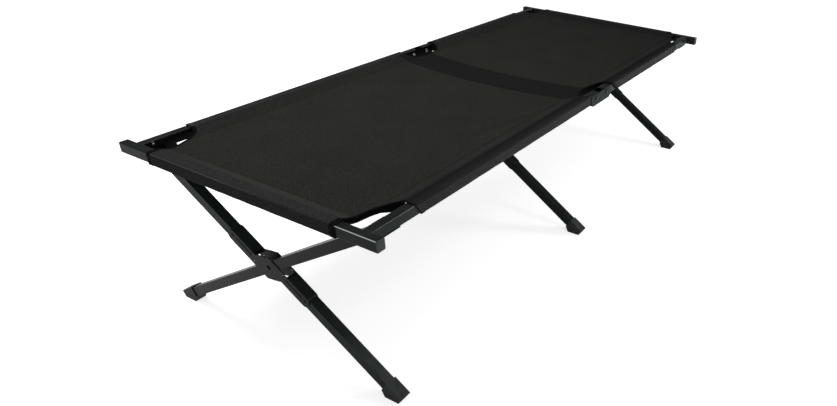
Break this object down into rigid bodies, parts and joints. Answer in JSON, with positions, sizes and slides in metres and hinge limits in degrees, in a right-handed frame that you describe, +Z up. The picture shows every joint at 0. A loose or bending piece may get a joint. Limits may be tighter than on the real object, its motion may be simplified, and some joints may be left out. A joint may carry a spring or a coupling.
{
  "type": "camping cot",
  "caption": "Folding camping cot with hinged side rails, crossed tube legs that close like scissors, hook-on end bars and a fabric bed.",
  "frame": {"origin": "on the floor under the middle of the frame", "axes": "+X towards the head end, +Y to the sleeper's left, +Z up"},
  "size_m": [2.0472, 0.91, 0.5361],
  "materials": {
    "coated_tube": "black powder coat, satin",
    "coated_bracket": "black coated stamped steel",
    "zinc_fastener": "bright zinc plate",
    "moulded_plastic": "moulded, matte black",
    "bed_cloth": "charcoal woven polyester, bound edges"
  },
  "bodies": {
    "left_foot_frame": {"rail_left_foot": "coated_tube", "end_fitting_left_foot": "moulded_plastic", "side_sleeve_left_foot": "bed_cloth", "top_bracket_left_near": "coated_bracket", "top_bolt_left_near": "zinc_fastener", "top_bracket_left_mid": "coated_bracket", "top_bolt_left_mid": "zinc_fastener", "bed_panel": "bed_cloth"},
    "near_split_leg": {"leg_split_upper_near": "coated_tube", "leg_split_lower_near": "coated_tube", "cross_bracket_near": "coated_bracket", "cross_bolt_near": "zinc_fastener", "foot_right_near": "moulded_plastic"},
    "near_through_leg": {"leg_through_near": "coated_tube", "foot_left_near": "moulded_plastic"},
    "mid_split_leg": {"leg_split_upper_mid": "coated_tube", "leg_split_lower_mid": "coated_tube", "cross_bracket_mid": "coated_bracket", "cross_bolt_mid": "zinc_fastener", "foot_right_mid": "moulded_plastic"},
    "mid_through_leg": {"leg_through_mid": "coated_tube", "foot_left_mid": "moulded_plastic"},
    "right_foot_frame": {"rail_right_foot": "coated_tube", "end_fitting_right_foot": "moulded_plastic", "side_sleeve_right_foot": "bed_cloth", "top_bracket_right_near": "coated_bracket", "top_bolt_right_near": "zinc_fastener", "top_bracket_right_mid": "coated_bracket", "top_bolt_right_mid": "zinc_fastener"},
    "left_link": {"hinge_bolt_left_foot": "zinc_fastener", "hinge_bolt_left_head": "zinc_fastener", "hinge_link_left": "coated_bracket"},
    "right_link": {"hinge_bolt_right_foot": "zinc_fastener", "hinge_bolt_right_head": "zinc_fastener", "hinge_link_right": "coated_bracket"},
    "left_head_frame": {"rail_left_head": "coated_tube", "end_fitting_left_head": "moulded_plastic", "side_sleeve_left_head": "bed_cloth", "top_bracket_left_far": "coated_bracket", "top_bolt_left_far": "zinc_fastener"},
    "right_head_frame": {"rail_right_head": "coated_tube", "end_fitting_right_head": "moulded_plastic", "side_sleeve_right_head": "bed_cloth", "top_bracket_right_far": "coated_bracket", "top_bolt_right_far": "zinc_fastener"},
    "far_split_leg": {"leg_split_upper_far": "coated_tube", "leg_split_lower_far": "coated_tube", "cross_bracket_far": "coated_bracket", "cross_bolt_far": "zinc_fastener", "foot_right_far": "moulded_plastic"},
    "far_through_leg": {"leg_through_far": "coated_tube", "foot_left_far": "moulded_plastic"},
    "foot_bar": {"bar_plug_left_foot": "moulded_plastic", "bar_plug_right_foot": "moulded_plastic", "end_bar_foot": "coated_tube", "end_sleeve_foot": "bed_cloth"},
    "head_bar": {"bar_plug_left_head": "moulded_plastic", "bar_plug_right_head": "moulded_plastic", "end_bar_head": "coated_tube", "end_sleeve_head": "bed_cloth"}
  },
  "joints": [
    {"name": "frame_close", "type": "hinge", "parent": "left_foot_frame", "child": "mid_split_leg", "pos_m": [0.028, 0.371, 0.494], "axis": [1, 0, 0], "range_deg": [0, 51], "deforming": ["bed_panel"]},
    {"name": "near_leg_close", "type": "hinge", "parent": "left_foot_frame", "child": "near_split_leg", "pos_m": [-0.957, 0.371, 0.494], "axis": [1, 0, 0], "range_deg": [0, 51]},
    {"name": "far_leg_close", "type": "hinge", "parent": "left_head_frame", "child": "far_split_leg", "pos_m": [0.957, 0.371, 0.494], "axis": [1, 0, 0], "range_deg": [0, 51]},
    {"name": "near_cross_close", "type": "hinge", "parent": "near_split_leg", "child": "near_through_leg", "pos_m": [-0.957, 0, 0.267], "axis": [-1, 0, 0], "range_deg": [0, 102]},
    {"name": "mid_cross_close", "type": "hinge", "parent": "mid_split_leg", "child": "mid_through_leg", "pos_m": [0.028, 0, 0.267], "axis": [-1, 0, 0], "range_deg": [0, 102]},
    {"name": "far_cross_close", "type": "hinge", "parent": "far_split_leg", "child": "far_through_leg", "pos_m": [0.957, 0, 0.267], "axis": [-1, 0, 0], "range_deg": [0, 102]},
    {"name": "right_rail_close", "type": "hinge", "parent": "mid_through_leg", "child": "right_foot_frame", "pos_m": [0.028, -0.371, 0.494], "axis": [1, 0, 0], "range_deg": [0, 51]},
    {"name": "half_fold", "type": "hinge", "parent": "left_foot_frame", "child": "left_link", "pos_m": [0.0915, 0.405, 0.518], "axis": [0, -1, 0], "range_deg": [0, 90]},
    {"name": "left_head_fold", "type": "hinge", "parent": "left_link", "child": "left_head_frame", "pos_m": [0.1685, 0.405, 0.518], "axis": [0, -1, 0], "range_deg": [0, 90]},
    {"name": "right_link_fold", "type": "hinge", "parent": "right_foot_frame", "child": "right_link", "pos_m": [0.0915, -0.405, 0.518], "axis": [0, -1, 0], "range_deg": [0, 90]},
    {"name": "right_head_fold", "type": "hinge", "parent": "right_link", "child": "right_head_frame", "pos_m": [0.1685, -0.405, 0.518], "axis": [0, -1, 0], "range_deg": [0, 90]},
    {"name": "foot_bar_off", "type": "slide", "parent": "left_foot_frame", "child": "foot_bar", "axis": [-1, 0, 0], "range_m": [0, 0.12]},
    {"name": "head_bar_off", "type": "slide", "parent": "left_head_frame", "child": "head_bar", "axis": [1, 0, 0], "range_m": [0, 0.12]}
  ],
  "couplings": [
    {"joint": "near_leg_close", "follows": "frame_close", "ratio": 1},
    {"joint": "far_leg_close", "follows": "frame_close", "ratio": 1},
    {"joint": "near_cross_close", "follows": "frame_close", "ratio": 2},
    {"joint": "mid_cross_close", "follows": "frame_close", "ratio": 2},
    {"joint": "far_cross_close", "follows": "frame_close", "ratio": 2},
    {"joint": "right_rail_close", "follows": "frame_close", "ratio": 1},
    {"joint": "left_head_fold", "follows": "half_fold", "ratio": 1},
    {"joint": "right_link_fold", "follows": "half_fold", "ratio": 1},
    {"joint": "right_head_fold", "follows": "half_fold", "ratio": 1},
    {"joint": "foot_bar_off", "follows": "frame_close", "m_per_rad": 0.1348},
    {"joint": "head_bar_off", "follows": "frame_close", "m_per_rad": 0.1348}
  ]
}
